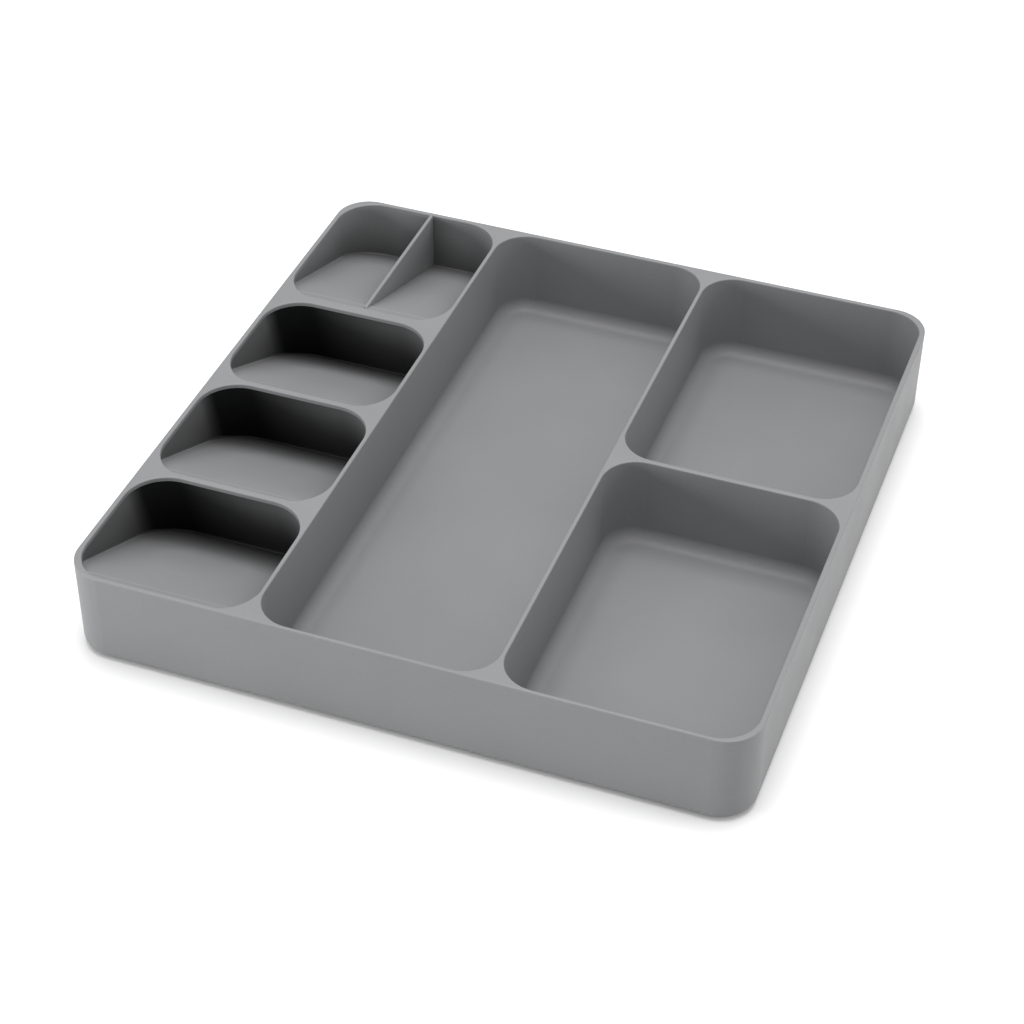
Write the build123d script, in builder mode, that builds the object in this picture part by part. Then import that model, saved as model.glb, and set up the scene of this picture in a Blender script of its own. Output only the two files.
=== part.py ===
from build123d import *
import os
from math import atan, cos, degrees, radians, tan

# Drawer organizer tray with a tiered cutlery column.
#
# Frame: millimetres, +Z up, +Y towards the back of the drawer, +X to the right.
# The origin lies on the drawer floor, under the centre of the tray.
#
# The tray body is one moulding: skirt, three open compartments and, on the left,
# a deck over a hollow column.  Four thin pockets are fitted from below against
# the deck, a base cover closes the column and holds them up, and rubber feet sit
# in recesses of the underside.

# Overall size, at the rim
tray_width = 384.0
tray_length = 397.0
tray_height = 58.0

# Tray body walls
side_rim_width = 3.0
front_rim_width = 2.2
floor_thickness = 2.2
deck_thickness = 2.6
partition_width = 2.4
cross_wall_width = 3.2
corner_radius = 21.0
wall_draft = 0.5
compartment_draft = 1.2
compartment_fillet = 8.0
bottom_fillet = 5.0
rim_rounding = 0.8

# Plan layout
column_width = 103.8
middle_width = 133.7
near_cell_length = 196.9

# Tiered pockets, from the front of the drawer to the back
pocket_lengths = (91.3, 89.5, 86.4)
pocket_names = ("pocket_front", "pocket_middle", "pocket_rear")
pocket_bar_width = 3.4
last_bar_width = 5.9
pocket_corner_radius = 24.0
pocket_low_z = 7.4
pocket_lean = 15.3
pocket_fillet = 1.2
pocket_near_reach = 1.0
split_low_z = 19.5
tool_headroom = 30.0

# Pocket mouldings
liner_side = 0.8
liner_floor = 1.6
liner_clearance = 0.1

# Divider of the split pocket
divider_thickness = 2.3
divider_offset = 54.6
divider_tongue = 0.8
divider_tip_gap = 1.6
divider_clearance = 0.1

# Base cover
cover_thickness = 2.2
cover_clearance = 0.15
support_rib_thickness = 2.0
support_rib_margin = 8.0
support_rib_share = 0.45
support_clearance = 0.2
hook_width = 14.0
hook_thickness = 1.5
hook_height = 14.0
hook_catch = 0.7
hook_catch_height = 2.0
hook_setback = 30.0

# Feet
foot_diameter = 14.0
foot_thickness = 2.0
foot_protrusion = 1.0
foot_clearance = 0.15
foot_inset = 26.0
foot_rounding = 0.4

# Derived places
tray_bottom = foot_protrusion
rim_z = tray_height
deck_underside = rim_z - deck_thickness
left_x = -tray_width / 2 + side_rim_width
right_x = tray_width / 2 - side_rim_width
front_y = -tray_length / 2 + front_rim_width
back_y = tray_length / 2 - side_rim_width
column_right_x = left_x + column_width
middle_left_x = column_right_x + partition_width
middle_right_x = middle_left_x + middle_width
right_left_x = middle_right_x + partition_width
near_cell_back_y = front_y + near_cell_length
far_cell_front_y = near_cell_back_y + cross_wall_width
floor_z = tray_bottom + floor_thickness
hollow_left_x = left_x - liner_side - liner_clearance
hollow_right_x = column_right_x + liner_side + liner_clearance
hollow_front_y = front_y - liner_clearance
hollow_back_y = back_y + liner_side + liner_clearance
cover_top_z = tray_bottom + cover_thickness


def ramp_slope(length, low_z, lean):
    """Slope of a ramp that meets its back wall at the height low_z."""
    depth = rim_z - low_z
    return degrees(atan(depth / (length + depth * tan(radians(lean)))))


def pocket_plan():
    """Name, front, back, slope and back lean of each pocket."""
    plan = []
    start = front_y
    for name, length in zip(pocket_names, pocket_lengths):
        slope = ramp_slope(length, pocket_low_z, pocket_lean)
        plan.append((name, start, start + length, slope, pocket_lean))
        start += length + pocket_bar_width
    start += last_bar_width - pocket_bar_width
    slope = ramp_slope(back_y - start, split_low_z, 0.0)
    plan.append(("split_pocket", start, back_y, slope, 0.0))
    return plan


POCKETS = pocket_plan()


def rounded_prism(x0, x1, y0, y1, radius, z0, z1, bottom_inset=0.0, back_run=0.0, foot_radius=0.0):
    """Closed prism with upright rounded corners between two levels.

    Its bottom outline is smaller by bottom_inset all round and reaches back_run
    further back; foot_radius rounds the edge of its bottom face.
    """
    middle_x = (x0 + x1) / 2
    width = x1 - x0
    length = y1 - y0
    with BuildPart() as prism:
        with BuildSketch(Plane.XY.offset(z1)):
            with Locations((middle_x, (y0 + y1) / 2)):
                RectangleRounded(width, length, radius)
        with BuildSketch(Plane.XY.offset(z0)):
            with Locations((middle_x, (y0 + y1 + back_run) / 2)):
                RectangleRounded(
                    width - 2 * bottom_inset, length - 2 * bottom_inset + back_run, radius - bottom_inset
                )
        loft(ruled=True)
        if foot_radius > 0:
            fillet(prism.faces().sort_by(Axis.Z)[0].edges(), foot_radius)
    return prism.part


def half_space_below(y_start, slope, drop=0.0):
    """Everything under a ramp that leaves the rim at y_start and falls towards the back."""
    reach = 2 * tray_length
    low = -tray_height
    angle_tan = tan(radians(slope))
    start_z = rim_z - drop / cos(radians(slope))
    with BuildPart() as wedge:
        with BuildSketch(Plane.YZ):
            with BuildLine():
                Polyline(
                    (y_start - reach, start_z + reach * angle_tan),
                    (y_start + reach, start_z - reach * angle_tan),
                    (y_start + reach, low - reach),
                    (y_start - reach, low - reach),
                    close=True,
                )
            make_face()
        extrude(amount=tray_width, both=True)
    return wedge.part


def pocket_form(y0, y1, slope, lean, side_growth=0.0, end_growth=0.0, drop=0.0):
    """Air space of a pocket, or the outside of its moulding when it is grown."""
    lean_tan = tan(radians(lean))
    top_z = rim_z + tool_headroom
    low_z = -tray_height
    space = rounded_prism(
        left_x - side_growth,
        column_right_x + side_growth,
        y0 - pocket_near_reach - end_growth,
        y1 + end_growth / cos(radians(lean)) - tool_headroom * lean_tan,
        pocket_corner_radius + side_growth,
        low_z,
        top_z,
        back_run=(top_z - low_z) * lean_tan,
    )
    below_ramp = half_space_below(y0, slope, drop)
    with BuildPart() as form:
        add(space)
        add(below_ramp, mode=Mode.SUBTRACT)
        ramp = form.faces().sort_by(Axis.Z)[0]
        fillet(ramp.edges(), pocket_fillet + side_growth)
    return form.part


def level_block(x0, x1, y0, y1, z0, z1):
    """Plain block between two levels, for trimming."""
    with BuildPart() as block:
        with BuildSketch(Plane.XY.offset(z0)):
            with Locations(((x0 + x1) / 2, (y0 + y1) / 2)):
                Rectangle(x1 - x0, y1 - y0)
        extrude(amount=z1 - z0)
    return block.part


def plate_in_yz(points, x_middle, thickness):
    """Upright plate across X whose outline is given as (y, z) points."""
    with BuildPart() as plate:
        with BuildSketch(Plane.YZ.offset(x_middle)):
            with BuildLine():
                Polyline(*points, close=True)
            make_face()
        extrude(amount=thickness / 2, both=True)
    return plate.part


def ramp_z(y_start, slope, y, drop=0.0):
    """Height of a ramp surface, or of a parallel surface drop below it."""
    return rim_z - (y - y_start) * tan(radians(slope)) - drop / cos(radians(slope))


def finish(name, part):
    """Label a finished piece and write it as its own node."""
    part.label = name
    export_step(part, f"parts/{name}.step")


def foot_places():
    """Name and centre of each foot: four corners and the middle of both long sides."""
    x = tray_width / 2 - foot_inset
    y = tray_length / 2 - foot_inset
    rows = (("front", -y), ("middle", 0.0), ("back", y))
    sides = (("left", -x), ("right", x))
    return [(f"foot_{row}_{side}", px, py) for row, py in rows for side, px in sides]


def foot_recesses():
    """Recesses of all feet, as one tool."""
    with BuildPart() as recesses:
        with BuildSketch(Plane.XY.offset(tray_bottom)):
            with Locations(*[(x, y) for _, x, y in foot_places()]):
                Circle(foot_diameter / 2 + foot_clearance)
        extrude(amount=foot_thickness - foot_protrusion)
    return recesses.part


def outer_form():
    """Outside of the whole tray without its feet."""
    return rounded_prism(
        -tray_width / 2,
        tray_width / 2,
        -tray_length / 2,
        tray_length / 2,
        corner_radius,
        tray_bottom,
        rim_z,
        bottom_inset=(rim_z - tray_bottom) * tan(radians(wall_draft)),
        foot_radius=bottom_fillet,
    )


def compartment(x0, x1, y0, y1):
    """Air space of an open compartment."""
    return rounded_prism(
        x0,
        x1,
        y0,
        y1,
        corner_radius,
        floor_z,
        rim_z,
        bottom_inset=(rim_z - floor_z) * tan(radians(compartment_draft)),
        foot_radius=compartment_fillet,
    )


def hollow_block(clearance, z0, z1):
    """Column under the deck, with rounded corners, drawn in by a clearance."""
    return rounded_prism(
        hollow_left_x + clearance,
        hollow_right_x - clearance,
        hollow_front_y + clearance,
        hollow_back_y - clearance,
        corner_radius,
        z0,
        z1,
    )


def hook_ys():
    """Places along the column of the cover's snap hooks."""
    return [y0 + hook_setback for _, y0, _, _, _ in POCKETS]


def hook_catches(growth):
    """Catches of the snap hooks, or their seats in the column walls when grown."""
    z = cover_top_z + hook_height - hook_catch_height / 2
    middle_x = (hollow_left_x + hollow_right_x) / 2
    span = hollow_right_x - hollow_left_x - 2 * cover_clearance + 2 * hook_catch
    with BuildPart() as catches:
        for y in hook_ys():
            with BuildSketch(Plane.XY.offset(z - hook_catch_height / 2 - growth)):
                with Locations((middle_x, y)):
                    Rectangle(span + 2 * growth, hook_width + 2 * growth)
            extrude(amount=hook_catch_height + 2 * growth)
    return catches.part


def make_tray_body():
    """Skirt, deck and the three open compartments, in one moulding."""
    outside = outer_form()
    bays = [
        compartment(middle_left_x, middle_right_x, front_y, back_y),
        compartment(right_left_x, right_x, front_y, near_cell_back_y),
        compartment(right_left_x, right_x, far_cell_front_y, back_y),
    ]
    hollow = hollow_block(0.0, 0.0, deck_underside)
    mouths = [pocket_form(y0, y1, slope, 0.0) for _, y0, y1, slope, _ in POCKETS]
    small_cuts = [divider_groove(), foot_recesses(), hook_catches(cover_clearance)]
    with BuildPart() as tray_body:
        add(outside)
        for bay in bays:
            add(bay, mode=Mode.SUBTRACT)
        fillet(tray_body.edges().group_by(Axis.Z)[-1], rim_rounding)
        add(hollow, mode=Mode.SUBTRACT)
        for mouth in mouths:
            add(mouth, mode=Mode.SUBTRACT)
            rim_edges = tray_body.edges(Select.LAST).group_by(Axis.Z)[-1]
            fillet(rim_edges, rim_rounding)
        for cut in small_cuts:
            add(cut, mode=Mode.SUBTRACT)
    return tray_body.part


def divider_outline(depth_below_ramp, end_gap):
    """Outline (y, z) of the split pocket's divider, or of its groove."""
    _, y0, y1, slope, _ = POCKETS[-1]
    tip_y = y0 + divider_tip_gap - end_gap
    return [
        (tip_y, rim_z),
        (tip_y, ramp_z(y0, slope, tip_y, depth_below_ramp)),
        (y1 + end_gap, ramp_z(y0, slope, y1 + end_gap, depth_below_ramp)),
        (y1 + end_gap, rim_z),
    ]


def divider_groove():
    """Slot in the ramp and in the deck's lip that the divider stands in."""
    points = divider_outline(divider_tongue + divider_clearance, divider_clearance)
    return plate_in_yz(points, divider_x(), divider_thickness + 2 * divider_clearance)


def divider_x():
    """Middle of the divider."""
    return left_x + divider_offset


def make_pocket(name, y0, y1, slope, lean):
    """One sloping pocket: thin sides, a ramp floor and a back wall."""
    back_wall = liner_floor if lean > 0 else liner_side
    outside = pocket_form(y0, y1, slope, lean, liner_side, back_wall, liner_floor)
    air = pocket_form(y0, y1, slope, lean)
    room = hollow_block(liner_clearance, tray_bottom, deck_underside)
    groove = divider_groove()
    with BuildPart() as pocket:
        add(outside)
        add(air, mode=Mode.SUBTRACT)
        add(room, mode=Mode.INTERSECT)
        if name == "split_pocket":
            add(groove, mode=Mode.SUBTRACT)
    return pocket.part


def make_divider():
    """Plate that stands in the groove of the split pocket, flush with the rim."""
    plate = plate_in_yz(divider_outline(divider_tongue, 0.0), divider_x(), divider_thickness)
    with BuildPart() as divider:
        add(plate)
        fillet(divider.edges().filter_by(Axis.Y).group_by(Axis.Z)[-1], rim_rounding)
    return divider.part


def support_ribs():
    """Cross ribs of the base cover that carry the pocket floors."""
    middle_x = (left_x + column_right_x) / 2
    width = column_width - 2 * support_rib_margin
    ribs = []
    for _, y0, y1, slope, _ in POCKETS:
        y = y0 + support_rib_share * (y1 - y0)
        front = y - support_rib_thickness / 2
        rear = y + support_rib_thickness / 2
        points = [
            (front, cover_top_z),
            (front, ramp_z(y0, slope, front, liner_floor) - support_clearance),
            (rear, ramp_z(y0, slope, rear, liner_floor) - support_clearance),
            (rear, cover_top_z),
        ]
        ribs.append(plate_in_yz(points, middle_x, width))
    return ribs


def snap_hooks():
    """Upright arms and outward catches along both sides of the base cover."""
    left = hollow_left_x + cover_clearance + hook_thickness / 2
    right = hollow_right_x - cover_clearance - hook_thickness / 2
    catches = hook_catches(0.0)
    between_arms = level_block(
        left + hook_thickness / 2, right - hook_thickness / 2, -tray_length, tray_length, 0.0, rim_z
    )
    with BuildPart() as hooks:
        with BuildSketch(Plane.XY.offset(cover_top_z)):
            with Locations(*[(x, y) for x in (left, right) for y in hook_ys()]):
                Rectangle(hook_thickness, hook_width)
        extrude(amount=hook_height)
        add(catches)
        add(between_arms, mode=Mode.SUBTRACT)
    return hooks.part


def make_base_cover():
    """Panel that closes the column, with support ribs and snap hooks."""
    outside = outer_form()
    panel_room = hollow_block(cover_clearance, 0.0, cover_top_z)
    raised = [*support_ribs(), snap_hooks()]
    recesses = foot_recesses()
    with BuildPart() as base_cover:
        add(outside)
        add(panel_room, mode=Mode.INTERSECT)
        for piece in raised:
            add(piece)
        add(recesses, mode=Mode.SUBTRACT)
    return base_cover.part


def make_foot(x, y):
    """Soft round pad, half sunk in its recess."""
    with BuildPart() as foot:
        with BuildSketch(Plane.XY):
            with Locations((x, y)):
                Circle(foot_diameter / 2)
        extrude(amount=foot_thickness)
        fillet(foot.edges().group_by(Axis.Z)[0], foot_rounding)
    return foot.part


def main():
    os.makedirs("parts", exist_ok=True)
    finish("tray_body", make_tray_body())
    for name, y0, y1, slope, lean in POCKETS:
        finish(name, make_pocket(name, y0, y1, slope, lean))
    finish("pocket_divider", make_divider())
    finish("base_cover", make_base_cover())
    for name, x, y in foot_places():
        finish(name, make_foot(x, y))


main()
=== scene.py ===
import math

import bpy
from mathutils import Matrix, Vector

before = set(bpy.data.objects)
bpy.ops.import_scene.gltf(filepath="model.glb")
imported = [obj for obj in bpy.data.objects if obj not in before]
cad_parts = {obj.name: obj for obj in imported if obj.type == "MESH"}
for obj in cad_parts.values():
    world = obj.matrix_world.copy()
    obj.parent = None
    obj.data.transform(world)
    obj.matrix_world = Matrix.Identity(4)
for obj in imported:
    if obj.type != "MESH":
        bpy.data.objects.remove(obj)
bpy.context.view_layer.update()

# Camera: place and clip range in metres, angles in degrees, lens and sensor in millimetres
CAMERA_PLACE = (0.3699, -1.0534, 0.9239)
CAMERA_AZIMUTH = 19.70
CAMERA_ELEVATION = 39.58
CAMERA_ROLL = 0.61
CAMERA_LENS = 86.95
CAMERA_SENSOR = 36.0
CAMERA_CLIP = (0.01, 50.0)

# Studio: sizes and places in metres, powers in watts
FLOOR_SIZE = 8.0
FLOOR_COLOUR = 0.7
FLOOR_ROUGHNESS = 0.9
HORIZON_STRENGTH = 0.42
ZENITH_STRENGTH = 1.3
TOP_LIGHT_PLACE = (0.0, 0.15, 2.4)
TOP_LIGHT_SIZE = 1.6
TOP_LIGHT_POWER = 60.0
RIGHT_LIGHT_PLACE = (1.9, 0.4, 0.45)
RIGHT_LIGHT_SIZE = 0.9
RIGHT_LIGHT_POWER = 13.0
LEFT_LIGHT_PLACE = (-1.2, -1.2, 0.24)
LEFT_LIGHT_SIZE = 0.5
LEFT_LIGHT_POWER = 19.0

# Plastics: albedo, roughness and painted highlight along the edges
TRAY_GREY = (0.158, 0.160, 0.163)
TRAY_ROUGHNESS = 0.46
TRAY_EDGE_HIGHLIGHT = 1.18
POCKET_ROUGHNESS = 0.5
COVER_GREY = (0.142, 0.143, 0.146)
COVER_ROUGHNESS = 0.52
COVER_EDGE_HIGHLIGHT = 1.08
RUBBER_BLACK = (0.03, 0.03, 0.03)
RUBBER_ROUGHNESS = 0.68
RUBBER_EDGE_HIGHLIGHT = 1.3
SPECULAR_LEVEL = 0.22

# Surface: scale and detail of each noise, and how far it moves its value
NOISE_SPAN = (0.3, 0.7)
CLOUD_NOISE = (11.0, 4.0)
CLOUD_TONES = (0.96, 1.04)
SPECKLE_NOISE = (900.0, 2.0)
SPECKLE_TONES = (0.975, 1.025)
SHEEN_NOISE = (23.0, 5.0)
SHEEN_SPREAD = 0.04
GRAIN_NOISE = (1600.0, 3.0)
GRAIN_STRENGTH = 0.25
GRAIN_HEIGHT = 0.0001

# Painted edge highlight: reach in metres, and the likeness of rounded and true normal
EDGE_HIGHLIGHT_REACH = 0.0014
EDGE_HIGHLIGHT_SAMPLES = 8
EDGE_HIGHLIGHT_LIKENESS = (0.995, 0.9)

# Pocket mouldings, painted shade: darkening of the upright walls, of the undercut walls
# from the outer corner to the middle of the tray, and of the creases
POCKET_WALL_SHADE = 0.58
UNDERCUT_SHADES = (0.03, 0.7)
UNDERCUT_SHADE_SPAN = (-0.168, -0.092)
CREASE_SHADE = 0.45
CREASE_OPENNESS = (0.3, 0.95)
CREASE_SAMPLES = 12
RADIUS_SHADE = 0.6
TIERED_CREASE_SHADE_REACH = 0.032
SPLIT_CREASE_SHADE_REACH = 0.024

# Parts of the normal, in the object's own axes, that tell the pocket faces apart for the painted
# shade
RAMP_FACING_Y = (0.3, 0.42)
UNDERCUT_FACING_Y = (-0.08, -0.5)
RADIUS_FACING_Y = (0.3, 0.2)
RADIUS_FACING_Z = (0.05, 0.3)


def add_camera():
    """Camera at the viewing angle of the reference picture."""
    camera = bpy.data.cameras.new("camera")
    camera.lens = CAMERA_LENS
    camera.sensor_width = CAMERA_SENSOR
    camera.clip_start, camera.clip_end = CAMERA_CLIP
    holder = bpy.data.objects.new("camera", camera)
    turn = (
        Matrix.Rotation(math.radians(CAMERA_AZIMUTH), 4, "Z")
        @ Matrix.Rotation(math.radians(90.0 - CAMERA_ELEVATION), 4, "X")
        @ Matrix.Rotation(math.radians(CAMERA_ROLL), 4, "Z")
    )
    holder.matrix_world = Matrix.Translation(CAMERA_PLACE) @ turn
    bpy.context.scene.collection.objects.link(holder)
    bpy.context.scene.camera = holder


def add_area_light(name, place, size, power):
    """Soft square light that faces the tray."""
    lamp = bpy.data.lights.new(name, "AREA")
    lamp.shape = "SQUARE"
    lamp.size = size
    lamp.energy = power
    holder = bpy.data.objects.new(name, lamp)
    holder.location = place
    to_tray = Vector([-value for value in place])
    holder.rotation_euler = to_tray.to_track_quat("-Z", "Y").to_euler()
    bpy.context.scene.collection.objects.link(holder)


def mapped(tree, value, value_range, result_range):
    """Linear map from one range to another, held at its ends."""
    mapping = tree.nodes.new("ShaderNodeMapRange")
    mapping.inputs["From Min"].default_value = value_range[0]
    mapping.inputs["From Max"].default_value = value_range[1]
    mapping.inputs["To Min"].default_value = result_range[0]
    mapping.inputs["To Max"].default_value = result_range[1]
    tree.links.new(value, mapping.inputs["Value"])
    return mapping.outputs["Result"]


def axes(tree, vector):
    """Outputs X, Y and Z of a vector."""
    node = tree.nodes.new("ShaderNodeSeparateXYZ")
    tree.links.new(vector, node.inputs["Vector"])
    return node.outputs


def product(tree, first, second):
    """Product of two values."""
    node = tree.nodes.new("ShaderNodeMath")
    node.operation = "MULTIPLY"
    tree.links.new(first, node.inputs[0])
    tree.links.new(second, node.inputs[1])
    return node.outputs["Value"]


def blend(tree, factor, first, second):
    """Mix of two values, each a number or a socket."""
    node = tree.nodes.new("ShaderNodeMix")
    tree.links.new(factor, node.inputs["Factor"])
    for value, socket in ((first, node.inputs["A"]), (second, node.inputs["B"])):
        if isinstance(value, float):
            socket.default_value = value
        else:
            tree.links.new(value, socket)
    return node.outputs["Result"]


def noise(tree, place, scale, detail):
    """Noise texture fixed to the object."""
    texture = tree.nodes.new("ShaderNodeTexNoise")
    texture.inputs["Scale"].default_value = scale
    texture.inputs["Detail"].default_value = detail
    tree.links.new(place.outputs["Object"], texture.inputs["Vector"])
    return texture.outputs["Fac"]


def add_world():
    """White surroundings, brighter overhead than at the horizon."""
    world = bpy.data.worlds.new("studio")
    world.use_nodes = True
    tree = world.node_tree
    background = tree.nodes["Background"]
    background.inputs["Color"].default_value = (1.0, 1.0, 1.0, 1.0)
    direction = tree.nodes.new("ShaderNodeTexCoord")
    height = axes(tree, direction.outputs["Generated"])["Z"]
    strength = mapped(tree, height, (0.0, 1.0), (HORIZON_STRENGTH, ZENITH_STRENGTH))
    tree.links.new(strength, background.inputs["Strength"])
    bpy.context.scene.world = world


def add_floor():
    """Plain pale floor under the tray."""
    half = FLOOR_SIZE / 2
    corners = [(-half, -half, 0), (half, -half, 0), (half, half, 0), (-half, half, 0)]
    mesh = bpy.data.meshes.new("floor")
    mesh.from_pydata(corners, [], [(0, 1, 2, 3)])
    floor = bpy.data.objects.new("floor", mesh)
    bpy.context.scene.collection.objects.link(floor)
    material = bpy.data.materials.new("floor_paper")
    material.use_nodes = True
    shader = material.node_tree.nodes["Principled BSDF"]
    shader.inputs["Base Color"].default_value = (FLOOR_COLOUR, FLOOR_COLOUR, FLOOR_COLOUR, 1.0)
    shader.inputs["Roughness"].default_value = FLOOR_ROUGHNESS
    shader.inputs["Specular IOR Level"].default_value = 0.0
    mesh.materials.append(material)


def painted_edge_highlight(tree, gain):
    """Factor above one along the edges: a painted highlight on the rounded edges."""
    rounded = tree.nodes.new("ShaderNodeBevel")
    rounded.samples = EDGE_HIGHLIGHT_SAMPLES
    rounded.inputs["Radius"].default_value = EDGE_HIGHLIGHT_REACH
    true_normal = tree.nodes.new("ShaderNodeNewGeometry")
    likeness = tree.nodes.new("ShaderNodeVectorMath")
    likeness.operation = "DOT_PRODUCT"
    tree.links.new(rounded.outputs["Normal"], likeness.inputs[0])
    tree.links.new(true_normal.outputs["Normal"], likeness.inputs[1])
    return mapped(tree, likeness.outputs["Value"], EDGE_HIGHLIGHT_LIKENESS, (1.0, gain))


def painted_wall_shade(tree, place):
    """Painted shade of a tiered pocket: plain floor, darker walls, darkest where they lean under the
    deck.
    """
    facing = axes(tree, place.outputs["Normal"])
    where = axes(tree, place.outputs["Object"])
    ramp_share = mapped(tree, facing["Y"], RAMP_FACING_Y, (0.0, 1.0))
    undercut_share = mapped(tree, facing["Y"], UNDERCUT_FACING_Y, (0.0, 1.0))
    undercut_shade = mapped(tree, where["X"], UNDERCUT_SHADE_SPAN, UNDERCUT_SHADES)
    walls = blend(tree, undercut_share, POCKET_WALL_SHADE, undercut_shade)
    return blend(tree, ramp_share, walls, 1.0)


def painted_crease_shade(tree, place, reach):
    """Painted shade: factor below one beside an inside corner, and on the small radius inside it."""
    openness = tree.nodes.new("ShaderNodeAmbientOcclusion")
    openness.samples = CREASE_SAMPLES
    openness.inputs["Distance"].default_value = reach
    beside = mapped(tree, openness.outputs["AO"], CREASE_OPENNESS, (CREASE_SHADE, 1.0))
    facing = axes(tree, place.outputs["Normal"])
    upward = mapped(tree, facing["Z"], RADIUS_FACING_Z, (0.0, 1.0))
    off_ramp = mapped(tree, facing["Y"], RADIUS_FACING_Y, (0.0, 1.0))
    inside = blend(tree, product(tree, upward, off_ramp), 1.0, RADIUS_SHADE)
    return product(tree, beside, inside)


def moulded_plastic(name, tint, roughness, edge_highlight=1.0, crease_shade_reach=0.0, undercut_shade=False):
    """Satin moulded plastic: spark-eroded grain, slow tone changes, painted highlight on the edges,
    painted shade in the creases and on the pocket walls.
    """
    material = bpy.data.materials.new(name)
    material.use_nodes = True
    tree = material.node_tree
    shader = tree.nodes["Principled BSDF"]
    place = tree.nodes.new("ShaderNodeTexCoord")

    clouds = mapped(tree, noise(tree, place, *CLOUD_NOISE), NOISE_SPAN, CLOUD_TONES)
    speckle = mapped(tree, noise(tree, place, *SPECKLE_NOISE), NOISE_SPAN, SPECKLE_TONES)
    tone = product(tree, clouds, speckle)
    # Painted highlight along the rounded edges
    if edge_highlight > 1:
        tone = product(tree, tone, painted_edge_highlight(tree, edge_highlight))
    # Painted shade beside inside corners and on the small radii inside them
    if crease_shade_reach > 0:
        tone = product(tree, tone, painted_crease_shade(tree, place, crease_shade_reach))
    # Painted shade on the pocket walls, darkest where they lean under the deck
    if undercut_shade:
        tone = product(tree, tone, painted_wall_shade(tree, place))
    colour = tree.nodes.new("ShaderNodeVectorMath")
    colour.operation = "SCALE"
    colour.inputs[0].default_value = tint
    tree.links.new(tone, colour.inputs["Scale"])
    tree.links.new(colour.outputs["Vector"], shader.inputs["Base Color"])

    sheen_range = (roughness - SHEEN_SPREAD, roughness + SHEEN_SPREAD)
    sheen = mapped(tree, noise(tree, place, *SHEEN_NOISE), NOISE_SPAN, sheen_range)
    tree.links.new(sheen, shader.inputs["Roughness"])
    shader.inputs["Specular IOR Level"].default_value = SPECULAR_LEVEL

    bump = tree.nodes.new("ShaderNodeBump")
    bump.inputs["Strength"].default_value = GRAIN_STRENGTH
    bump.inputs["Distance"].default_value = GRAIN_HEIGHT
    tree.links.new(noise(tree, place, *GRAIN_NOISE), bump.inputs["Height"])
    tree.links.new(bump.outputs["Normal"], shader.inputs["Normal"])
    return material


def dress_nodes():
    """Gives every CAD node its material."""
    # The tray, cover and feet carry a painted highlight along their edges
    grey = moulded_plastic("tray_plastic", TRAY_GREY, TRAY_ROUGHNESS, TRAY_EDGE_HIGHLIGHT)
    # Both pocket plastics carry painted shade in their creases, the tiered one also on its walls
    tiered = moulded_plastic(
        "tiered_pocket_painted_shade",
        TRAY_GREY,
        POCKET_ROUGHNESS,
        crease_shade_reach=TIERED_CREASE_SHADE_REACH,
        undercut_shade=True,
    )
    split = moulded_plastic(
        "split_pocket_painted_shade",
        TRAY_GREY,
        POCKET_ROUGHNESS,
        crease_shade_reach=SPLIT_CREASE_SHADE_REACH,
    )
    cover = moulded_plastic("cover_plastic", COVER_GREY, COVER_ROUGHNESS, COVER_EDGE_HIGHLIGHT)
    rubber = moulded_plastic("foot_rubber", RUBBER_BLACK, RUBBER_ROUGHNESS, RUBBER_EDGE_HIGHLIGHT)
    own_plastic = {
        "pocket_front": tiered,
        "pocket_middle": tiered,
        "pocket_rear": tiered,
        "split_pocket": split,
        "base_cover": cover,
    }
    for name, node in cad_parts.items():
        chosen = rubber if name.startswith("foot_") else own_plastic.get(name, grey)
        node.data.materials.clear()
        node.data.materials.append(chosen)


add_camera()
add_world()
add_floor()
add_area_light("top_light", TOP_LIGHT_PLACE, TOP_LIGHT_SIZE, TOP_LIGHT_POWER)
add_area_light("right_light", RIGHT_LIGHT_PLACE, RIGHT_LIGHT_SIZE, RIGHT_LIGHT_POWER)
add_area_light("left_light", LEFT_LIGHT_PLACE, LEFT_LIGHT_SIZE, LEFT_LIGHT_POWER)
dress_nodes()

scene = bpy.context.scene
scene.view_settings.view_transform = "Standard"
scene.view_settings.look = "None"
